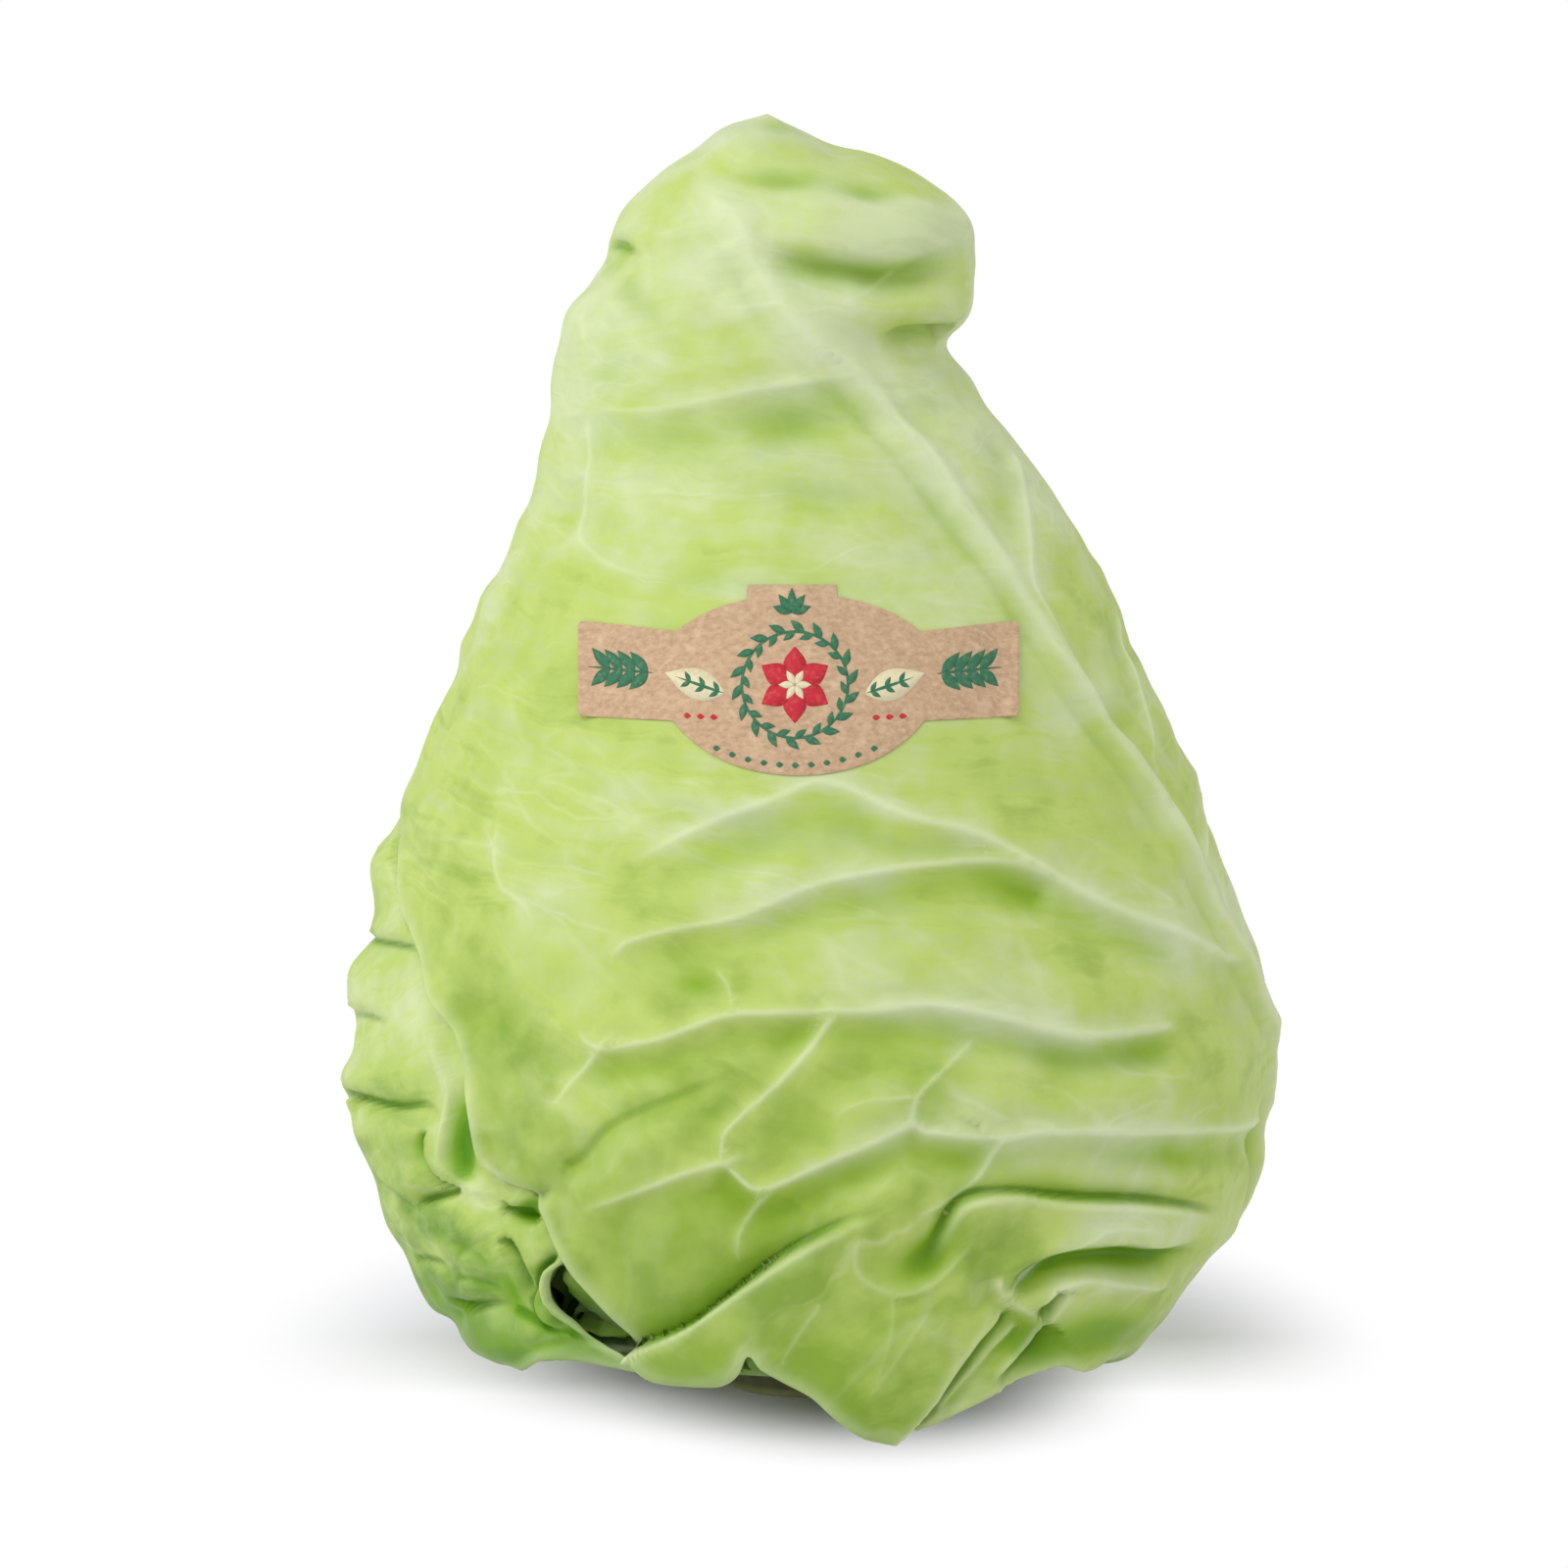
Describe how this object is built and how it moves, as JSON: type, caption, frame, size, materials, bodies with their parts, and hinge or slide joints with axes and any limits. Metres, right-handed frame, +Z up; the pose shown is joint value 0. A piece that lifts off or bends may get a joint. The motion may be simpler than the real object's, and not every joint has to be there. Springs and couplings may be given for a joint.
{
  "type": "pointed cabbage",
  "caption": "Pointed cabbage head standing on its cut stump: overlapping light green wrapper leaves round a packed heart, with a plain brown paper sticker on the front.",
  "frame": {"origin": "middle of the head in plan, at the surface it stands on", "axes": "+Z up from the stump to the tip; -Y is the front with the sticker; +X is to the right seen from the front"},
  "size_m": [0.153, 0.1476, 0.212],
  "materials": {
    "front_leaf": "waxy light green leaf with paler veins",
    "left_leaf": "waxy light green leaf with paler veins",
    "right_leaf": "waxy light green leaf with paler veins",
    "back_leaf": "waxy light green leaf with paler veins",
    "inner_left_leaf": "waxy light green leaf with paler veins",
    "inner_right_leaf": "waxy light green leaf with paler veins",
    "inner_back_leaf": "waxy light green leaf with paler veins",
    "inner_front_leaf": "waxy light green leaf with paler veins",
    "heart": "pale yellow-green packed leaves",
    "cut_stump": "moist cut stalk, pale, slightly rough",
    "paper_label": "uncoated brown kraft paper"
  },
  "bodies": {
    "root": {"front_leaf": "front_leaf", "left_leaf": "left_leaf", "right_leaf": "right_leaf", "back_leaf": "back_leaf", "inner_left_leaf": "inner_left_leaf", "inner_right_leaf": "inner_right_leaf", "inner_back_leaf": "inner_back_leaf", "inner_front_leaf": "inner_front_leaf", "heart": "heart", "cut_stump": "cut_stump", "paper_label": "paper_label"}
  },
  "joints": []
}
